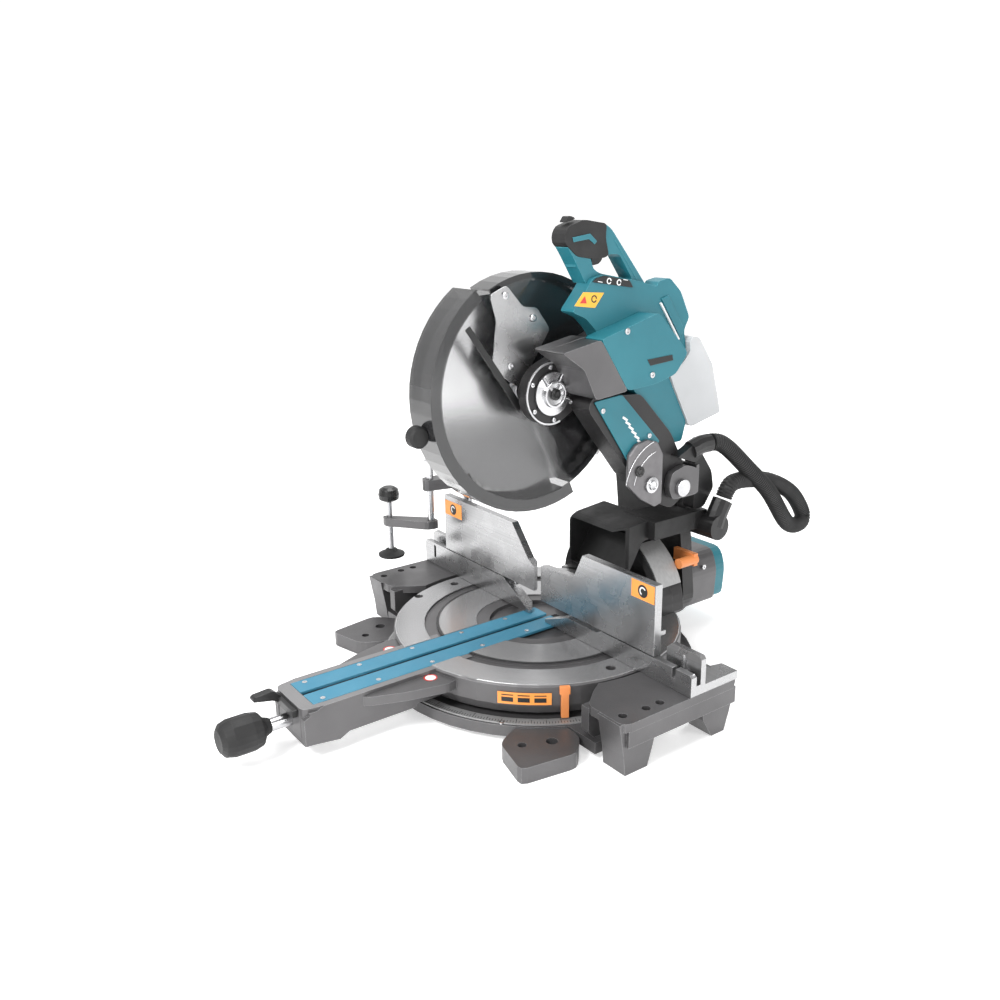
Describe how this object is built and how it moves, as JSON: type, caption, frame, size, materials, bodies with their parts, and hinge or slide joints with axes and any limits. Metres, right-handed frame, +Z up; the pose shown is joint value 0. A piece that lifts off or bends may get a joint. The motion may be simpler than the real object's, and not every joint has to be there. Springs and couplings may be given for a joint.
{
  "type": "slide compound mitre saw",
  "caption": "Cordless slide compound mitre saw on a cast base with turntable, two-part fence, hinged guarded blade head, dust hose and side work clamp.",
  "frame": {"origin": "centre of the bounding box without the hose, on the floor the base stands on", "axes": "+X right along the fence, -Y towards the operator, +Z up"},
  "size_m": [0.652, 1.0157, 0.6628],
  "materials": {
    "cast_grey": "semi-gloss cast texture",
    "dark_cast": "satin",
    "bare_alu": "brushed",
    "steel": "machined",
    "rail_chrome": "polished",
    "teal": "moulded satin",
    "board": "satin",
    "black": "moulded",
    "black_rubber": "matt",
    "smoke": "smoked, see-through",
    "frosted": "frosted",
    "orange": "satin",
    "scale": "printed",
    "copper": "wound"
  },
  "bodies": {
    "base": {"base_casting": "cast_grey", "mitre_scale": "scale", "lower_fence_left": "bare_alu", "lower_fence_right": "bare_alu", "clamp_post": "steel", "turntable_pivot": "steel"},
    "fence_left": {"fence_left": "bare_alu"},
    "fence_right": {"fence_right": "bare_alu"},
    "turntable": {"turntable_casting": "cast_grey", "kerf_board_left": "board", "kerf_board_right": "board", "mitre_pointer": "orange", "bevel_drum": "dark_cast", "bevel_scale": "scale"},
    "mitre_grip": {"mitre_grip": "black_rubber", "mitre_lock_rod": "steel"},
    "detent_lever": {"detent_lever": "black"},
    "bevel_arm": {"bevel_arm": "dark_cast", "rail_lower": "rail_chrome", "rail_upper": "rail_chrome", "rail_end": "dark_cast", "rear_housing": "cast_grey", "rear_cap": "teal", "dust_nozzle": "black_rubber", "dust_elbow": "black", "bevel_pointer": "orange", "column_cover": "black"},
    "bevel_lever": {"bevel_lever": "black"},
    "carriage": {"carriage": "cast_grey", "pivot_pin": "steel"},
    "head": {"head_arm": "dark_cast", "arm_plate": "teal", "belt_case": "dark_cast", "drive_belt": "black_rubber", "motor_stator": "copper", "motor_housing": "teal", "gear_housing": "cast_grey", "head_housing": "teal", "upper_guard": "dark_cast", "guard_plate": "bare_alu", "handle": "teal", "handle_grip": "black_rubber", "switch_panel": "black", "battery_mount": "teal", "hose_boot": "black", "dust_hose": "black_rubber"},
    "lower_guard": {"lower_guard": "smoke", "guard_roller": "black_rubber"},
    "blade": {"blade": "steel", "spindle": "steel", "blade_bolt": "steel"},
    "rotor": {"motor_rotor": "copper"},
    "trigger": {"trigger": "black"},
    "lock_off": {"lock_off": "black"},
    "battery": {"battery_pack": "frosted"},
    "clamp_arm": {"clamp_upper_arm": "cast_grey", "clamp_rod": "steel", "clamp_lower_arm": "cast_grey"},
    "clamp_screw": {"clamp_screw": "steel", "clamp_pad": "black_rubber"}
  },
  "joints": [
    {"name": "mitre", "type": "hinge", "parent": "base", "child": "turntable", "pos_m": [0.009, 0.0685, 0.074], "axis": [0, 0, -1], "range_deg": [-45, 45]},
    {"name": "fence_left_slide", "type": "slide", "parent": "base", "child": "fence_left", "axis": [1, 0, 0], "range_m": [-0.06, 0]},
    {"name": "fence_right_slide", "type": "slide", "parent": "base", "child": "fence_right", "axis": [-1, 0, 0], "range_m": [-0.06, 0]},
    {"name": "clamp_swing", "type": "hinge", "parent": "base", "child": "clamp_arm", "pos_m": [-0.231, 0.1085, 0.074], "axis": [0, 0, 1], "range_deg": [-10, 25]},
    {"name": "clamp_screw_feed", "type": "slide", "parent": "clamp_arm", "child": "clamp_screw", "axis": [0, 0, -1], "range_m": [0, 0.026]},
    {"name": "mitre_grip_turn", "type": "hinge", "parent": "turntable", "child": "mitre_grip", "pos_m": [0.009, -0.3715, 0.044], "axis": [0, 1, 0], "range_deg": [0, 120]},
    {"name": "detent_press", "type": "hinge", "parent": "turntable", "child": "detent_lever", "pos_m": [0.009, -0.3435, 0.065], "axis": [1, 0, 0], "range_deg": [0, 10], "stiffness_Nm_per_rad": 1.2, "springref_deg": -17.19},
    {"name": "bevel", "type": "hinge", "parent": "turntable", "child": "bevel_arm", "pos_m": [0.009, 0.2985, 0.074], "axis": [0, -1, 0], "range_deg": [0, 33]},
    {"name": "bevel_lever_turn", "type": "hinge", "parent": "bevel_arm", "child": "bevel_lever", "pos_m": [0.009, 0.4265, 0.074], "axis": [0, 1, 0], "range_deg": [0, 60]},
    {"name": "slide", "type": "slide", "parent": "bevel_arm", "child": "carriage", "axis": [0, 1, 0], "range_m": [-0.2, 0]},
    {"name": "chop", "type": "hinge", "parent": "carriage", "child": "head", "pos_m": [0.085, 0.2585, 0.271], "axis": [-1, 0, 0], "range_deg": [-47, 0], "stiffness_Nm_per_rad": 40, "springref_deg": 68.75, "deforming": ["dust_hose"]},
    {"name": "guard_lift", "type": "hinge", "parent": "head", "child": "lower_guard", "pos_m": [0.009, 0.0505, 0.431], "axis": [-1, 0, 0], "range_deg": [0, 120]},
    {"name": "blade_spin", "type": "hinge", "parent": "head", "child": "blade", "pos_m": [0.009, 0.0505, 0.431], "axis": [1, 0, 0], "continuous": true},
    {"name": "rotor_spin", "type": "hinge", "parent": "head", "child": "rotor", "pos_m": [0.109, 0.1605, 0.484], "axis": [1, 0, 0], "continuous": true},
    {"name": "trigger_pull", "type": "slide", "parent": "head", "child": "trigger", "axis": [0, 0, 1], "range_m": [0, 0.005], "stiffness_N_per_m": 600, "springref_m": -0.003},
    {"name": "lock_off_push", "type": "slide", "parent": "head", "child": "lock_off", "axis": [0, -1, 0], "range_m": [0, 0.005], "stiffness_N_per_m": 400, "springref_m": -0.003},
    {"name": "battery_slide", "type": "slide", "parent": "head", "child": "battery", "axis": [0, 0.484, -0.8751], "range_m": [0, 0.03]}
  ],
  "couplings": [
    {"joint": "guard_lift", "follows": "chop", "ratio": -2.5},
    {"joint": "rotor_spin", "follows": "blade_spin", "ratio": 1.4783}
  ]
}
